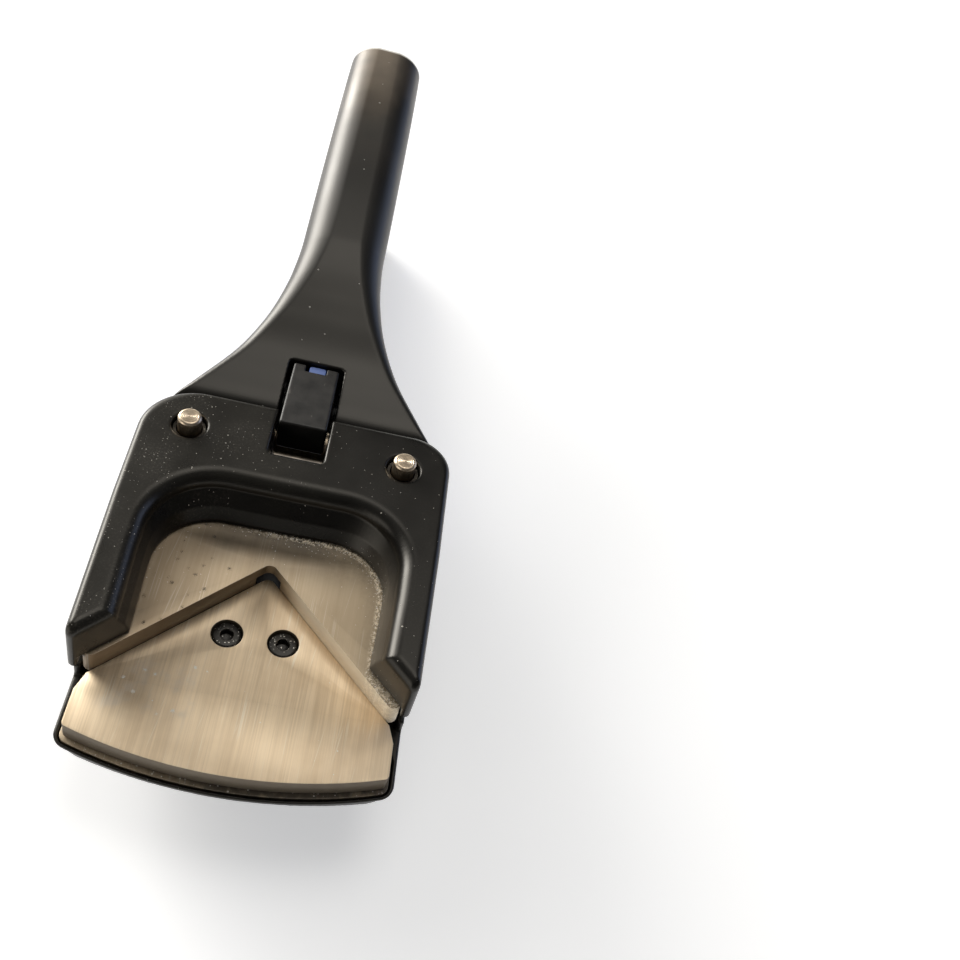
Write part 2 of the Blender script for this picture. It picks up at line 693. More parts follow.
def ground(name, lift, rough, metal, dirt):
    """Ground steel with its grain front to back, long scratches and stains.

    lift brightens the steel; dirt lays its coats and returns where the metal is dulled.
    """
    s = Surface(name, rough=0.28, metal=1.0)
    normal_z = s.normal()[2]
    grain = s.noise(scale=2600.0, rough=0.6, vector=s.stretch(0.016))
    streaks = s.noise(scale=420.0, rough=0.6, vector=s.stretch(0.03))
    stain = s.noise(scale=55.0, detail=4.0, rough=0.6)
    lines = s.calc("ADD", s.times(grain, 0.5), s.times(streaks, 0.5))
    s.mix(s.band(lines, over=(0.33, 0.68)),
          shade((0.555, 0.435, 0.290), lift), shade((0.69, 0.56, 0.390), lift))
    s.cover(s.band(stain, over=(0.42, 0.70)), strength=0.35,
            colour=shade((0.47, 0.345, 0.212), lift))
    gloss = s.band(s.calc("ADD", s.times(grain, 0.6), s.times(stain, 0.4)),
                   over=(0.35, 0.65), to=rough)
    # long thin scratches, straight and at a slant
    line = s.noise(scale=3000.0, detail=0.0, vector=s.stretch(0.012))
    straight = s.times(s.band(line, over=(0.66, 0.76)),
                       s.band(s.noise(scale=85.0, detail=1.0), over=(0.42, 0.60)))
    leaning = s.add("Mapping", {0: s.coords, 2: (0, 0, 0.12)}).outputs[0]
    line = s.noise(scale=2600.0, detail=0.0, vector=s.stretch(0.02, leaning))
    slanted = s.times(s.band(line, over=(0.72, 0.80)),
                      s.band(s.noise(scale=60.0, detail=1.0), over=(0.48, 0.60)))
    flat = s.band(normal_z, over=(0.6, 0.95))
    scratch = s.times(s.most(straight, slanted), flat)
    s.cover(scratch, strength=0.55, colour=(0.95, 0.86, 0.70))
    relief = s.calc("SUBTRACT", s.times(lines, 1.0), s.times(scratch, 0.8))

    dull = dirt(s, normal_z, flat)
    s.cover(s.worn(0.00025, over=(0.03, 0.25)), strength=0.35, colour=(0.85, 0.80, 0.72))
    s.put("Roughness", s.calc("ADD", gloss, s.times(dull, 0.45), clamp=True))
    s.put("Metallic", s.times(metal, s.calc("SUBTRACT", 1.0, s.times(dull, 0.9), clamp=True)))
    return s.finish(s.calc("ADD", relief, s.times(dull, 3.0)), depth=0.0000011)


def turned_steel(name, base=(0.76, 0.62, 0.455), rough=0.34):
    """Turned metal with fine marks and a warm, handled tone."""
    s = Surface(name, rough, metal=1.0)
    marks = s.noise(scale=5200.0, detail=1.0, vector=s.stretch(1.0))
    stain = s.noise(scale=380.0, detail=3.0, rough=0.6)
    s.mix(s.band(stain, over=(0.35, 0.7)), base, shade(base, 0.66))
    s.cover(s.worn(0.00025), strength=0.4, colour=(0.85, 0.80, 0.72))
    s.put("Roughness", s.band(stain, over=(0.3, 0.7), to=(rough - 0.05, rough + 0.10)))
    return s.finish(marks, depth=0.000004)


def oxide(name, base=(0.022, 0.020, 0.018), rough=0.34, metal=0.75, edge=0.0003,
          dust=0.10, dust_pitch=0.0022):
    """Black oxide on machined steel: dark, oily, brighter where edges are rubbed."""
    s = Surface(name, rough, metal)
    cloud = s.noise(scale=500.0, detail=3.0, rough=0.6)
    s.mix(s.band(cloud, over=(0.35, 0.68)), base, shade(base, 1.9))
    s.cover(s.worn(edge, over=(0.04, 0.3)), strength=0.5, colour=(0.36, 0.33, 0.28))
    flecks = s.specks(pitch=dust_pitch, radius=0.00014, keep=dust,
                      mask=s.band(s.normal()[2], over=(0.3, 0.8)))
    s.cover(flecks, colour=(0.6, 0.57, 0.5))
    s.put("Roughness", s.band(cloud, over=(0.3, 0.7), to=(rough - 0.06, rough + 0.10)))
    return s.finish(s.noise(scale=2400.0), depth=0.000006)


def block_finish(name):
    """Blackened milled steel of the nose: satin, grey rubs on top, bright edges."""
    s = Surface(name, rough=0.42, metal=0.2)
    cloud = s.noise(scale=130.0, detail=4.0, rough=0.6)
    mill = s.noise(scale=2200.0, vector=s.stretch(0.05))
    s.mix(s.band(cloud, over=(0.35, 0.68)), (0.020, 0.019, 0.017), (0.036, 0.033, 0.029))
    s.cover(s.worn(0.0005, over=(0.04, 0.3)), strength=0.45, colour=(0.30, 0.28, 0.24))
    rub = s.times(s.band(s.noise(scale=700.0, rough=0.6, vector=s.stretch(0.35)),
                         over=(0.66, 0.76)),
                  s.band(s.normal()[2], over=(0.5, 0.9)))
    s.cover(rub, strength=0.35, colour=(0.22, 0.20, 0.17))
    s.put("Roughness", s.band(cloud, over=(0.3, 0.7), to=(0.36, 0.50)))
    return s.finish(mill, depth=0.000008)


def plastic(name):
    """Moulded blue plastic with a fine spark-eroded grain."""
    base = (0.045, 0.135, 0.56)
    s = Surface(name, rough=0.36)
    cloud = s.noise(scale=60.0)
    s.mix(s.band(cloud, over=(0.3, 0.7)), shade(base, 0.88), shade(base, 1.10))
    s.cover(s.worn(0.0005), strength=0.25, colour=(0.25, 0.40, 0.80))
    film = s.times(s.band(s.normal()[2], over=(0.5, 0.9)),
                   s.band(s.position()[2], over=(0.046, 0.049)))
    s.cover(film, strength=0.5, colour=(0.30, 0.36, 0.50))
    s.put("Roughness", s.band(cloud, over=(0.25, 0.75), to=(0.32, 0.44)))
    s.put("Specular IOR Level", 0.5)
    return s.finish(s.noise(scale=1700.0, rough=0.6), depth=0.000018)


# finishes: material, slot
CAST = casting("black_casting", (0.0062, 0.0058, 0.0050), dust=0.50), "black_casting"
CAST_BASE = (casting("black_casting_base", (0.0085, 0.0081, 0.0074), dust=0.12, rough=0.36),
             "black_casting")
PAINT = handle_paint("black_handle"), "black_handle"
PAINT_LOW = (casting("black_handle_low", (0.0125, 0.0120, 0.0115), dust=0.05, rough=0.42,
                     peel_depth=0.00003), "black_handle")
STEEL_V = (ground("ground_steel_v", lift=1.04, rough=(0.38, 0.46), metal=0.52,
                  dirt=v_plate_dirt), "ground_steel")
STEEL_TABLE = (ground("ground_steel_table", lift=1.36, rough=(0.44, 0.52), metal=0.52,
                      dirt=table_dirt), "ground_steel")
STEEL_LOWER = (ground("ground_steel_lower", lift=1.04, rough=(0.38, 0.46), metal=0.90,
                      dirt=lower_dirt), "ground_steel")
TURNED = turned_steel("turned_steel"), "steel"
SPRING = turned_steel("spring_steel", (0.34, 0.33, 0.31), rough=0.30), "spring_steel"
BRONZE = turned_steel("bronze", (0.50, 0.33, 0.15), rough=0.33), "bronze"
OXIDE = oxide("black_oxide"), "black_oxide"
SCREW = (oxide("screw_oxide", (0.020, 0.018, 0.015), rough=0.30, metal=0.55, edge=0.00055,
               dust=0.55, dust_pitch=0.0009), "black_oxide")
BLOCK = block_finish("blackened_steel"), "blackened_steel"
BUSH = (oxide("oiled_bush", (0.050, 0.044, 0.036), rough=0.30, metal=0.9),
        "blackened_steel")
BLUE = plastic("blue_plastic"), "blue_plastic"


# ---------------------------------------------------------------- base casting
# height, inset of the plan: the sides draw in towards the bottom
BASE_DRAFT = [(-1.0, 4.2), (12.0, 2.9), (20.0, 1.7), (23.2, 1.1), (24.6, 0.35), (25.3, 0.0),
              (Z_NECK + 1.0, 0.0)]


def both(sign, inner, outer):
    """X range, low to high, between two distances from the middle on one side."""
    return sorted((sign * inner, sign * outer))


def post_at(sign):
    return (sign * POST_X, POST_Y, 0)


def neck_outline(inset):
    """Plan of the base: bowed front, straight head sides, then a taper to the cheeks."""
    width = HEAD_W - inset
    right = [
        (width, front_y(FRONT_Y, HEAD_W) + inset, 4.0),
        (width, 37.5, 7.0),
        (34.0 - inset * 0.8, 42.6, 2.5),
        (27.5, 46.0, 6.0),
        (21.4, 53.5, 9.0),
        (20.4, 66.0, 12.0),
        (18.8, 86.0, 0),
    ]
    front = [(x, y + inset, radius) for x, y, radius in front_arc(FRONT_Y, 33.0)]
    return fillet(front + right + mirrored(right))


def side_outline():
    """Side view of the base: thin front edge, wedge underside, heel flat, round rear cheeks."""
    points = [(-60.0, 23.3), (-60.0, Z_DECK), (42.6, Z_DECK), (42.6, Z_NECK), (81.0, Z_NECK)]
    for k in range(33):
        angle = -math.pi / 2 * k / 32
        points.append((PIVOT_Y + 20.0 * math.cos(angle), PIVOT_Z + 20.0 * math.sin(angle)))
    return points + [(HEEL_REAR, 0.0), (HEEL_FRONT, 0.0)]


def fan_outline(half, front, gap, nose, corner):
    """Fan-shaped plate whose rear edges lie a gap in front of the V; its point is rounded."""
    tip = -gap * math.sqrt(2)
    right = [
        (half, front_y(front, half), corner),
        (half, -half - 3.0 - gap, 0.6),
        (half - 1.5, -(half - 1.5) + tip, 0.6),
    ]
    return fillet(front_arc(front, half - 4.0) + right + [(0, tip, nose)] + mirrored(right))


def table_screw_holes(radius, z0, facets):
    return [rod(radius, z0, 60, facets, "Z", (sign * SCREW_X, SCREW_Y, 0))
            for sign, _ in SIDES]


def base_casting():
    margin = 0.35            # between the lower plate and its recess
    hole_r = POST_R + 0.2
    bearing_r = 15.9         # round recess in each cheek's outer face
    base = loft([at_height(neck_outline(inset), z) for z, inset in BASE_DRAFT])
    combine(base, prism_x(side_outline(), -60, 60), "INTERSECT")
    join(base, prism(rounded_box(36.0, 14.9, 38.6, 1.0, 5.0), 20.0, 33.6))
    for sign, _ in SIDES:
        join(base, block(*both(sign, 37.0, HEAD_W - 0.02), -33.0, 14.7, 24.0, 30.2))
    join(base, rod(17.2, -20.4, 20.4, ROUND, "X", PIVOT))
    cut(
        base,
        prism(fan_outline(LOWER_W + margin, LOWER_FRONT - margin, 0.9, 2.0, 2.4),
              Z_LOWER - T_LOWER - CLEAR, 40),
        # opening between the cheeks
        prism_x([(24.4, 14.0), (40.5, 14.0), (40.5, -5.0), (100, -5.0), (100, 60), (24.4, 60)],
                -SLOT_W, SLOT_W),
        merge([
            rod(4.2, -5, 60, SMALL, "Z", (0, 4.6, 0)),
            # post holes, wider above for the springs
            *[turned([(0, 5.4), (hole_r, 5.4), (hole_r, 13.4), (5.9, 13.4), (5.9, 60), (0, 60)],
                     SMALL, "Z", post_at(sign)) for sign, _ in SIDES],
            *table_screw_holes(2.25, 14.8, 32),
            # hollows in the underside
            *[prism_x([(-31, -5), (-31, 20.8), (11.5, 20.8), (11.5, -5)],
                      *both(sign, 12.5, 32.5)) for sign, _ in SIDES],
        ]),
        turned([(0, -30), (bearing_r, -30), (bearing_r, -17.4), (BUSH_R, -17.4),
                (BUSH_R, 17.4), (bearing_r, 17.4), (bearing_r, 30), (0, 30)],
               ROUND, "X", PIVOT),
        pin_hole(DOWEL, 19),
    )
    cast(base, voxel=0.36, smooth=3)
    piece(base, "base_casting", "body", CAST_BASE, sharp=0)


# ---------------------------------------------------------------- lower plate, table, screws
def lower_plate():
    lower = prism(fan_outline(LOWER_W, LOWER_FRONT, 1.2, 2.0, 2.2), Z_LOWER - T_LOWER, Z_LOWER)
    cut(lower, merge(table_screw_holes(2.3, 0, 48)))
    soften(lower, 0.18)
    piece(lower, "lower_plate", "body", STEEL_LOWER)


def table_plate():
    hole_r, sink_r, sink_z = 2.3, 3.85, Z_TABLE - 4.2
    table = prism(fan_outline(TABLE_W, TABLE_FRONT, 0.07, BLADE_R, 1.2),
                  Z_TABLE - T_TABLE, Z_TABLE)
    profile = [(0, 0), (hole_r, 0), (hole_r, sink_z), (sink_r, sink_z), (sink_r, 60), (0, 60)]
    cut(table, merge([turned(profile, 72, "Z", (sign * SCREW_X, SCREW_Y, 0))
                      for sign, _ in SIDES]))
    soften(table, 0.17)
    piece(table, "table_plate", "body", STEEL_TABLE)


def table_screw(sign, side):
    """Socket cap screw with its head on top."""
    x, y = sign * SCREW_X, SCREW_Y
    seat, head, shank, tip = Z_TABLE - 4.0, 3.5, 2.0, 15.3
    top = seat + 3.4
    screw = turned([
        (0, tip), (shank * 0.8, tip), (shank, tip + shank * 0.3), (shank, seat),
        (head - 0.15, seat), (head, seat + 0.15), (head, top - 0.45), (head - 0.12, top - 0.2),
        (head - 0.35, top - 0.06), (head - 0.55, top), (0, top),
    ], 96, "Z", (x, y, 0))
    socket = 3.0 / 2 / math.cos(math.pi / 6)    # 3 mm across the flats
    turn = math.radians(12 if sign > 0 else 40)
    cut(screw, prism(hexagon(x, y, socket, turn), top - 2.0, top + 2.0))
    cut(screw, turned([(0, top - 2.6), (socket * 0.86, top - 1.9), (socket * 0.88, top - 0.2),
                       (socket * 1.12, top + 0.2), (0, top + 0.2)], 48, "Z", (x, y, 0)))
    piece(screw, f"table_screw_{side}", "body", SCREW)


# ---------------------------------------------------------------- guide posts and springs
def guide_post(sign, side):
    """Post with a rounded rim and fine turned grooves in its top face."""
    profile = [(0, 5.8), (POST_R - 0.4, 5.8), (POST_R, 6.4),
               (POST_R, POST_TOP - 0.62), (POST_R - 0.16, POST_TOP - 0.30),
               (POST_R - 0.42, POST_TOP - 0.08), (POST_R - 0.68, POST_TOP)]
    for groove in (2.05, 1.62, 1.22, 0.84, 0.46):
        profile += [(groove + 0.10, POST_TOP), (groove, POST_TOP - 0.07),
                    (groove - 0.10, POST_TOP)]
    profile += [(0.18, POST_TOP - 0.02), (0, POST_TOP - 0.12)]
    piece(turned(profile, 96, "Z", post_at(sign)), f"guide_post_{side}", "body", TURNED,
          sharp=24)


def post_spring(sign, side):
    spring = coil(radius=4.55, wire=0.55, z0=13.8, z1=37.9, turns=6.0, turn_steps=40,
                  sides=12, axis="Z", at=post_at(sign))
    piece(spring, f"post_spring_{side}", "body", SPRING, sharp=0)
    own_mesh(spring)


# ---------------------------------------------------------------- palm handle
RISE = math.radians(8.6)
HANDLE_ROWS = [
    # y, middle z, half width, above, below, top radius, bottom radius
    (HANDLE_START, 44.0, 35.6, 1.4, 3.70, 1.6, 0.8),
    (43.6, 44.2, 34.6, 2.6, 3.90, 2.2, 0.8),
    (46.0, 44.5, 32.8, 3.3, 4.20, 2.8, 0.9),
    (50.0, 45.0, 30.2, 3.6, 4.70, 3.2, 1.0),
    (62.0, 47.6, 22.7, 3.4, 7.30, 4.2, 1.2),
    (74.0, 51.0, 17.0, 4.4, 10.7, 5.4, 1.6),
    (81.0, 52.7, 14.9, 5.2, 12.4, 6.2, 2.0),
    (90.0, 54.4, 13.2, 6.2, 11.6, 7.2, 3.6),
    (102.0, 56.4, 12.3, 6.8, 9.9, 8.0, 5.0),
    (120.0, 59.2, 12.3, 7.0, 9.2, 8.4, 5.6),
    (150.0, 63.7, 12.2, 7.0, 9.2, 8.4, 5.6),
    (175.0, 67.5, 12.0, 6.9, 9.1, 8.3, 5.6),
    (HANDLE_END, 70.0, 11.7, 6.8, 9.0, 8.2, 5.6),
]


def rounded_end(last):
    """(y, inset) stations that round off a handle's rear end behind last."""
    angles = [math.pi / 2 * k / 12 for k in range(1, 13)]
    return [(last + HANDLE_END_R * math.sin(angle),
             HANDLE_END_R * (1 - math.cos(angle)) * 0.9) for angle in angles]


def ramp(y, start, length):
    """0 up to start, then up to 1 over the length."""
    return min(1.0, max(0.0, (y - start) / length))


def palm_ring(y, inset):
    """Section across the handle: a rounded box that turns egg-shaped towards the rear."""
    middle, width, up, down, top_r, low_r = smooth_table(HANDLE_ROWS, y)
    tilt = RISE * ramp(y, 81.0, 25.0)
    width, up, down = width - inset, up - inset, down - inset
    top_r, low_r = max(top_r - inset, 0.3), max(low_r - inset, 0.3)
    crown = 0.3 + 2.1 * ramp(y, 50.0, 50.0)
    oval = ramp(y, 56.0, 44.0)
    points = []
    for x, v in rounded_box(width, -down, up, low_r, top_r, steps=16):
        if v > 0:
            t = min(1.0, abs(x / width))
            egg = (up + crown) * (1 - t**2.25) ** (1 / 2.25)
            v = (v + crown * (1 - t * t)) * (1 - oval) + egg * oval
        points.append((x, y - v * math.sin(tilt), middle + v * math.cos(tilt)))
    return points


def upper_handle():
    steps = 110
    last = HANDLE_END - HANDLE_END_R
    stations = [(HANDLE_START + (last - HANDLE_START) * (k / steps) ** 1.12, 0.0)
                for k in range(steps + 1)]
    palm = loft([palm_ring(y, inset) for y, inset in stations + rounded_end(last)])
    cut(palm, prism(rounded_box(7.7, 30, 60.2, 0, 1.2), 30, 70))
    rib = fillet([(55.0, 42.0, 0), (55.0, 30.8, 2.5), (66.5, 30.8, 2.5), (66.5, 42.0, 0)])
    for sign, _ in SIDES:
        join(palm, prism_x(rib, *both(sign, 9.2, 13.4)))
    cut(palm, pin_hole(DOWEL))
    cast(palm, voxel=0.34, smooth=4)
    piece(palm, "upper_handle", "body", PAINT, sharp=0)


def handle_dowel(sign, side):
    dowel = pin(9.5, 17.1, "X" if sign > 0 else "-X", DOWEL)
    piece(dowel, f"handle_dowel_{side}", "body", TURNED)


# ---------------------------------------------------------------- pivot
def pivot_axle():
    """Axle with a clip groove near each end."""
    groove_r, face_r = 3.2, AXLE_R - 0.5
    half = [(AXLE_R, 17.65), (groove_r, 17.65), (groove_r, 18.55), (AXLE_R, 18.55),
            (AXLE_R, 18.7), (face_r, 19.1), (0, 19.1)]
    profile = [(radius, -height) for radius, height in reversed(half)] + half
    piece(turned(profile, 72, "X", PIVOT), "pivot_axle", "body", TURNED)


def axle_clip(sign, side, axis):
    clip = turned([(3.4, 17.75), (7.0, 17.75), (7.0, 18.45), (3.4, 18.45)],
                  72, axis, PIVOT, closed=True)
    cut(clip, block(*both(sign, 15, 20), PIVOT_Y - 1.6, PIVOT_Y + 1.6, PIVOT_Z - 9, PIVOT_Z))
    soften(clip, 0.08, 1, 50)
    piece(clip, f"axle_clip_{side}", "body", OXIDE)


def pivot_cap(side, axis):
    """Cap with a rounded rim, a shallow ring groove and a domed middle."""
    cap = turned([
        (0, 19.7), (12.0, 19.7), (12.4, 17.7), (15.35, 17.7), (15.6, 17.95), (15.6, 20.9),
        (15.5, 21.3), (15.2, 21.7), (14.7, 22.0), (13.8, 22.35), (12.7, 22.5), (12.45, 22.35),
        (12.2, 22.3), (11.95, 22.4), (11.7, 22.62), (9.0, 22.88), (5.0, 23.04), (0, 23.1),
    ], ROUND, axis, PIVOT)
    piece(cap, f"pivot_cap_{side}", "body", BLUE, sharp=50)


def lever_spring():
    spring = coil(radius=7.6, wire=0.7, z0=-13.2, z1=-9.0, turns=2.5, turn_steps=48,
                  sides=14, axis="X", at=PIVOT)
    piece(spring, "lever_spring", "body", SPRING, sharp=0)


# ---------------------------------------------------------------- sliding frame
V_SCREWS = [(-32.4, -22.0, "front_left"), (32.4, -22.0, "front_right"),
            (-32.0, 6.0, "rear_left"), (32.0, 6.0, "rear_right")]    # x, y


def frame_outline(side, end):
    """Plan of the frame, inset by side, and by end at the arm ends, which run parallel to
    the V with a rounded outer corner."""
    width, rear = FRAME_W - side, FRAME_REAR - side
    x = width - 1.4
    left, right = (0.8 + end) * math.sqrt(2), (2.0 + end) * math.sqrt(2)
    nose = max(1.5 - side, 0.4)
    return fillet([
        (-x, -x + left, nose), (-10, -10 + left, 0), (10, -10 + right, 0),
        (x, -x + right, nose), (width - 0.3, 4.0, 60.0), (width, rear, 10.5),
        (-width, rear, 14.5), (-width + 0.3, 4.0, 60.0),
    ], 16)


def frame_rings(steps=18):
    top_r, end_r = 1.8, 2.8    # top edge radius along the sides and at the arm ends
    rings = [at_height(frame_outline(0, 0), 31.0)]
    for k in range(steps + 1):
        rise = end_r * math.sin(math.pi / 2 * k / steps)
        end = end_r - math.sqrt(max(0.0, end_r**2 - rise**2))
        up = max(0.0, rise - (end_r - top_r))
        side = top_r - math.sqrt(max(0.0, top_r**2 - up**2))
        rings.append(at_height(frame_outline(side, end), Z_FRAME - end_r + rise))
    return rings


def pocket_ring(half, rear, radius, z):
    return at_height(fillet([
        (-half + 2.2, -60, 0), (half - 2.2, -60, 0), (half, -9, 60.0),
        (half, rear, radius), (-half, rear, radius), (-half, -9, 60.0),
    ], 20), z)


def pocket_rings(steps=26):
    """The pocket widens from the V plate upwards and ends in a large rounded lip."""
    lip = 4.0
    # height, growth of the half width
    levels = [(Z_V_TOP - 0.5, 0.0), (Z_V_TOP + 1.0, 0.15), (Z_V_TOP + 4.5, 0.95),
              (Z_FRAME - lip, 2.3)]
    rings = [pocket_ring(28.4 + grow, 9.0 + 2.2 * grow, 15.0 + 0.6 * grow, z)
             for z, grow in levels]
    for k in range(1, steps + 1):
        angle = math.pi / 2 * k / steps
        grow = lip * (1 - math.cos(angle))
        mouth = (30.7 + grow, 14.06 + grow, 16.4 + grow)
        rings.append(pocket_ring(*mouth, Z_FRAME - lip + lip * math.sin(angle)))
    rings.append(pocket_ring(*mouth, Z_FRAME + 4.0))
    return rings


def notch_cutter(lip=0.75):
    """Rear notch that opens out in a quarter round at the frame's top."""
    def outline(grow, z):
        half, front, radius = NOTCH_W + grow, NOTCH_Y - grow, 1.7 + grow
        return at_height(fillet([(-half, 60, 0), (-half, front, radius),
                                 (half, front, radius), (half, 60, 0)]), z)

    rings = [outline(0.0, 20)]
    for k in range(9):
        angle = math.pi / 2 * k / 8
        rings.append(outline(lip * (1 - math.cos(angle)),
                             Z_FRAME - lip + lip * math.sin(angle)))
    return loft(rings + [outline(lip, Z_FRAME + 4.0)])


def top_frame():
    frame = loft(frame_rings())
    cut(
        frame,
        loft(pocket_rings()),
        prism(rounded_box(36.95, -60, 39.0, 0, 5.5), 20, Z_V_TOP + CLEAR),
        block(-60, 60, -60, 15.0, 20, 35.0),
        notch_cutter(),
    )
    lug = fillet([(27.0, 39.2, 0), (27.0, 33.0, 4.0), (36.0, 27.0, 3.0),
                  (51.6, 27.0, 4.4), (51.6, 36.2, 4.0), (42.0, 39.2, 0)])
    # post bore with a small chamfer at the top
    bore = [(0, 20), (4.5, 20), (4.5, Z_FRAME - 0.35), (4.95, Z_FRAME + 0.1), (4.95, 60),
            (0, 60)]
    for sign, _ in SIDES:
        join(frame, prism_x(lug, *both(sign, 8.0, 12.4)))
        cut(frame, turned(bore, 72, "Z", post_at(sign)))
    cut(frame, pin_hole(ROLLER))
    for x, y, _ in V_SCREWS:
        cut(frame, rod(1.8, 30, 44.0, 24, "Z", (x, y, 0)))
    cast(frame, voxel=0.28, smooth=3)
    piece(frame, "top_frame", "frame", CAST, sharp=0)


def v_plate():
    """V guide plate and upper blade."""
    right = [(V_W, -V_W - 0.1, 1.9), (V_W, V_REAR, 1.5)]
    plate = prism(fillet(right + mirrored(right) + [(0, 0, BLADE_R)], 16), Z_V_BOTTOM, Z_V_TOP)
    cut(plate, rod(5.1, 20, 34.8, 96, "Z", (0, 1.0, 0)))
    for x, y, _ in V_SCREWS:
        cut(plate, turned([(0, 30), (4.2, 30), (3.3, 31.0), (1.8, 32.6), (1.8, 60), (0, 60)],
                          48, "Z", (x, y, 0)))
    soften(plate, 0.11)
    piece(plate, "v_plate", "frame", STEEL_V)


def v_plate_screw(x, y, place_name):
    """Slotted countersunk screw, head down."""
    screw = turned([(0, 31.2), (2.9, 31.2), (2.9, 31.3), (1.45, 32.8), (1.45, 43.2),
                    (1.0, 43.6), (0, 43.6)], 48, "Z", (x, y, 0))
    cut(screw, block(x - 0.45, x + 0.45, y - 4, y + 4, 30, 31.9))
    piece(screw, f"v_plate_screw_{place_name}", "frame", OXIDE)


def post_bush(sign, side):
    bush = turned([(3.2, 38.9), (4.3, 38.9), (4.3, 48.2), (4.1, 48.4), (3.4, 48.4),
                   (3.2, 48.2)], 72, "Z", post_at(sign), closed=True)
    piece(bush, f"post_bush_{side}", "frame", BUSH)


def drive_roller():
    edge = ROLLER_R - 0.4
    roller = turned([(PIN_HOLE_R, -7.4), (edge, -7.4), (ROLLER_R, -7.0), (ROLLER_R, 7.0),
                     (edge, 7.4), (PIN_HOLE_R, 7.4)], 72, "X", ROLLER, closed=True)
    piece(roller, "drive_roller", "roller", TURNED)


# ---------------------------------------------------------------- nose lever
def roller_path(radius, steps=8):
    """Room the roller sweeps, seen from the turning lever: the frame drops STROKE over
    SQUEEZE."""
    path = []
    for k in range(-2, steps + 3):
        angle = SQUEEZE * k / steps
        y, z = ROLLER_Y - PIVOT_Y, ROLLER_Z - PIVOT_Z - STROKE * k / steps
        path.append(Vector((PIVOT_Y + y * math.cos(angle) + z * math.sin(angle),
                            PIVOT_Z - y * math.sin(angle) + z * math.cos(angle))))
    left, right = [], []
    for k, point in enumerate(path):
        ahead = (path[min(k + 1, len(path) - 1)] - path[max(k - 1, 0)]).normalized()
        normal = Vector((-ahead.y, ahead.x))
        left.append(point + normal * radius)
        right.append(point - normal * radius)

    def end(centre, start):
        spoke = start - centre
        return [centre + Matrix.Rotation(-math.pi * j / 24, 2) @ spoke for j in range(1, 24)]

    outline = left + end(path[-1], left[-1]) + right[::-1] + end(path[0], right[0])
    return [(point.x, point.y) for point in outline]


def rivet_holes():
    return merge([pin_hole((0, y, z)) for y, z, _ in RIVETS])


def nose_lever():
    """Block in the frame's notch, hub round the axle and a tang into the lower handle."""
    nose = prism_x(fillet([
        (NOSE_FRONT, NOSE_TOP, 0), (NOSE_FRONT, 41.0, 1.0), (41.0, 36.0, 1.5), (55.2, 36.0, 0),
        (55.2, 14.0, 2.0), (71.0, 12.0, 2.0), (71.0, 28.0, 5.0), (63.5, 37.2, 3.0),
        (NOSE_REAR, 39.6, 0.8), (NOSE_REAR, NOSE_TOP, 0),
    ]), -NOSE_W, NOSE_W)
    soften(nose, 0.55, 2, 60)
    tang = fillet([(66.0, 8.4, 1.0), (105.0, 7.6, 3.0), (105.0, 14.4, 3.0), (74.0, 20.0, 0),
                   (66.0, 24.0, 0)])
    join(nose, rod(HUB_R, -HUB_W, HUB_W, ROUND, "X", PIVOT), prism_x(tang, -3.5, 3.5))
    cut(
        nose,
        prism_x(roller_path(ROLLER_R + CLEAR), -20, 20),
        rod(5.4, -30, 30, 72, "X", PIVOT),
        block(-3.0, 3.0, 56.4, 62.0, 42.6, 60.0),
        rivet_holes(),
    )
    cast(nose, voxel=0.18, smooth=2)
    piece(nose, "nose_lever", "lever", BLOCK, sharp=0)


def open_stop_buffer():
    buffer = prism(fillet([(-1.9, 56.7, 0.3), (2.7, 56.7, 0.3), (2.7, 59.7, 0.8),
                           (-1.9, 59.7, 0.8)], 8), 42.9, 49.7)
    soften(buffer, 0.25, 3)
    piece(buffer, "open_stop_buffer", "lever", BLUE)


def lever_bush():
    bush = turned([(BUSH_R, -HUB_W), (5.2, -HUB_W), (5.2, HUB_W), (BUSH_R, HUB_W)],
                  72, "X", PIVOT, closed=True)
    piece(bush, "lever_bush", "lever", BRONZE)


# ---------------------------------------------------------------- lower handle and its liner
LEVER_ROWS = [
    # y, top z, split z, half width
    (LEVER_START, 33.0, 22.0, 13.0),
    (SPLIT_Y, 31.2, 19.6, 12.8),
    (96.0, 28.4, 16.8, 11.9),
    (110.0, 26.0, 14.6, 11.5),
    (140.0, 23.0, 12.0, 11.5),
    (170.0, 21.0, 10.6, 11.3),
    (LEVER_END, 20.0, 10.0, 11.0),
]


def lever_bottom(y):
    """Underside: a slow slope with four finger waves."""
    rest = 3.4 * max(0.0, min(1.0, (178.0 - y) / 94.0))
    wave = 0.0
    if 92.0 < y < 180.0:
        wave = 2.2 * (1 - math.cos(2 * math.pi * (y - 92.0) / 22.0)) / 2
    return rest + wave


def split_z(y):
    return smooth_table(LEVER_ROWS, y)[1]


def lever_solid(steps=96):
    """Whole lower handle, before it is split into grip and liner."""
    last = LEVER_END - HANDLE_END_R
    stations = [(LEVER_START + (last - LEVER_START) * k / steps, 0.0)
                for k in range(steps + 1)]
    rings = []
    for y, inset in stations + rounded_end(last):
        top, _, width = smooth_table(LEVER_ROWS, y)
        outline = rounded_box(width - inset, lever_bottom(y) + inset, top - inset,
                              max(3.6 - inset, 0.4), max(5.0 - inset, 0.4), steps=8)
        rings.append([(x, y, z) for x, z in outline])
    return loft(rings)


def above_split(gap):
    """Everything above and behind the split, moved by the gap."""
    start, end = SPLIT_Y + gap, LEVER_END + 12
    stations = [start + (end - start) * k / 48 for k in range(49)]
    curve = [(y, split_z(y) + gap) for y in stations]
    return prism_x(curve + [(end, 60.0), (start, 60.0)], -30, 30)


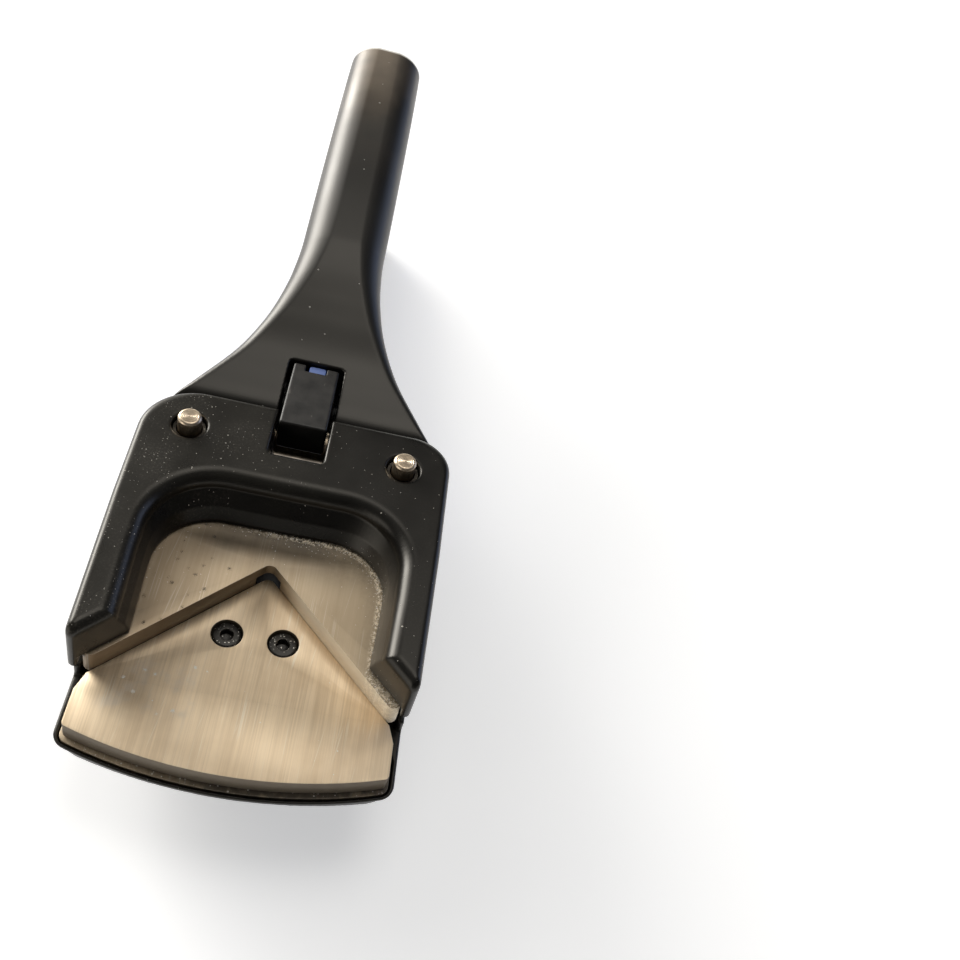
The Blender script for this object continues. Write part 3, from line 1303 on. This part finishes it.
def lower_handle():
    grip = lever_solid()
    cut(grip, above_split(-0.15))
    # slot for the nose lever's tang
    cut(grip, prism_x(fillet([(60, 7.2, 0), (105.4, 7.2, 2.0), (105.4, 60, 0), (60, 60, 0)],
                             8), -3.9, 3.9))
    cut(grip, rivet_holes())
    screw_holes = []
    for y, _ in LINER_SCREWS:
        seat = lever_bottom(y) + 3.0
        screw_holes.append(turned([(0, -5), (3.4, -5), (3.4, seat), (1.8, seat), (1.8, 40),
                                   (0, 40)], 48, "Z", (0, y, 0)))
    cut(grip, merge(screw_holes))
    cast(grip, voxel=0.32, smooth=3)
    piece(grip, "lower_handle", "lever", PAINT_LOW, sharp=0)


def grip_liner():
    liner = lever_solid()
    combine(liner, above_split(0.15), "INTERSECT")
    for y, _ in LINER_SCREWS:
        cut(liner, rod(1.8, -5, split_z(y) + 6.0, 24, "Z", (0, y, 0)))
    cast(liner, voxel=0.32, smooth=3)
    piece(liner, "grip_liner", "lever", BLUE, sharp=0)


def handle_rivet(y, z, place_name):
    end = smooth_table(LEVER_ROWS, y)[2] - 0.7
    half = [(PIN_R, end - 0.4), (1.6, end - 0.12), (1.2, end), (0, end)]
    profile = [(radius, -height) for radius, height in reversed(half)] + half
    piece(turned(profile, 48, "X", (0, y, z)), f"handle_rivet_{place_name}", "lever", TURNED)


def liner_screw(y, place_name):
    """Socket screw with its head at the bottom."""
    z = lever_bottom(y)
    tip = split_z(y) + 5.4
    screw = turned([(0, z + 0.6), (2.4, z + 0.6), (2.75, z + 0.8), (2.9, z + 1.1),
                    (2.9, z + 2.7), (1.5, z + 2.7), (1.5, tip), (0, tip)],
                   SMALL, "Z", (0, y, 0))
    cut(screw, prism(hexagon(0, y, 1.45), z - 1, z + 2.0))
    piece(screw, f"liner_screw_{place_name}", "lever", OXIDE)


# ---------------------------------------------------------------- floor, light, camera
def pale_floor():
    mesh = bmesh.new()
    bmesh.ops.create_grid(mesh, x_segments=24, y_segments=24, size=3.0)
    floor = solid(mesh, "floor")
    s = Surface("pale_floor", rough=0.62)
    s.mix(s.band(s.noise(scale=3.0, detail=3.0), over=(0.3, 0.7)),
          (0.86, 0.86, 0.855), (0.90, 0.90, 0.895))
    s.put("Emission Color", (1.0, 1.0, 1.0, 1.0))
    s.put("Emission Strength", 0.45)
    floor.data.materials.append(s.finish(s.noise(scale=1500.0), depth=0.00001, strength=0.6))


# direction, angle of full light, angle where it ends (degrees), colour
LOBES = [
    ((-0.74, 0.65, 0.30), 3.0, 19.0, (15.5, 15.2, 14.6)),    # window, low at the left rear
    ((-0.70, 0.66, 0.34), 5.0, 36.0, (2.9, 2.85, 2.75)),     # its glow on the wall
    ((0.06, 0.28, 0.957), 4.0, 23.0, (2.5, 2.43, 2.33)),     # bright ceiling behind
    ((0.0, 0.0, 1.0), 20.0, 60.0, (0.10, 0.10, 0.097)),      # the rest of the ceiling
    ((-0.80, -0.62, 0.10), 5.0, 30.0, (1.7, 1.64, 1.54)),    # low front left fill
    ((0.85, 0.50, 0.15), 4.0, 28.0, (0.70, 0.88, 1.38)),     # cool light at the right
    ((0.05, 1.00, 0.10), 4.0, 18.0, (1.8, 1.8, 1.7)),        # low rear light
]
AMBIENT = (0.05, 0.05, 0.052)
BACKDROP = (0.86, 0.86, 0.86, 1.0)    # what the camera sees behind the floor


def studio():
    """World of soft round lights, with a plain backdrop for the camera."""
    world = bpy.data.worlds.new("studio")
    bpy.context.scene.world = world
    world.use_nodes = True
    tree = world.node_tree
    way = add(tree, "ShaderNodeTexCoord").outputs["Generated"]

    def vector(operation, inputs):
        return add(tree, "ShaderNodeVectorMath", inputs, operation=operation).outputs

    def lobe(direction, inner, outer, colour):
        aim = tuple(Vector(direction).normalized())
        dot = vector("DOT_PRODUCT", {0: way, 1: aim})["Value"]
        falloff = add(
            tree, "ShaderNodeMapRange",
            {"Value": dot, "From Min": math.cos(math.radians(outer)),
             "From Max": math.cos(math.radians(inner))},
            interpolation_type="SMOOTHSTEP", clamp=True,
        ).outputs["Result"]
        return vector("SCALE", {0: colour, "Scale": falloff})[0]

    lights = [lobe(*row) for row in LOBES] + [AMBIENT]
    total = reduce(lambda a, b: vector("ADD", {0: a, 1: b})[0], lights)
    seen = add(tree, "ShaderNodeLightPath").outputs["Is Camera Ray"]
    wall = add(tree, "ShaderNodeMix", {0: seen, 6: total, 7: BACKDROP}, data_type="RGBA")
    background = tree.nodes["Background"]
    feed(tree, background.inputs["Color"], wall.outputs[2])
    background.inputs["Strength"].default_value = 1.0


def camera():
    view = bpy.context.scene.view_settings
    view.view_transform = "Standard"
    view.look = "None"
    view.exposure = 0.0
    data = bpy.data.cameras.new("camera")
    data.sensor_width = 36.0
    data.lens = 40.2578
    data.clip_start, data.clip_end = 0.01, 20.0
    viewer = bpy.data.objects.new("camera", data)
    bpy.context.scene.collection.objects.link(viewer)
    # columns: camera right, up, backward, place (m)
    viewer.matrix_world = Matrix((
        (0.969838, -0.202611, -0.135512, 0.009777),
        (0.063221, 0.746006, -0.662932, -0.187565),
        (0.235410, 0.634369, 0.736314, 0.260237),
        (0.0, 0.0, 0.0, 1.0),
    ))
    bpy.context.scene.camera = viewer


# ---------------------------------------------------------------- build
base_casting()
lower_plate()
table_plate()
for sign, side in SIDES:
    table_screw(sign, side)
for sign, side in SIDES:
    guide_post(sign, side)
    post_spring(sign, side)
upper_handle()
for sign, side in SIDES:
    handle_dowel(sign, side)
pivot_axle()
for sign, side in SIDES:
    axis = "X" if sign > 0 else "-X"
    axle_clip(sign, side, axis)
    pivot_cap(side, axis)
lever_spring()

top_frame()
v_plate()
for row in V_SCREWS:
    v_plate_screw(*row)
for sign, side in SIDES:
    post_bush(sign, side)
piece(pin(-12.3, 12.3, "X", ROLLER), "roller_pin", "frame", TURNED)
drive_roller()

nose_lever()
open_stop_buffer()
lever_bush()
lower_handle()
grip_liner()
for row in RIVETS:
    handle_rivet(*row)
for row in LINER_SCREWS:
    liner_screw(*row)

pale_floor()
studio()
camera()
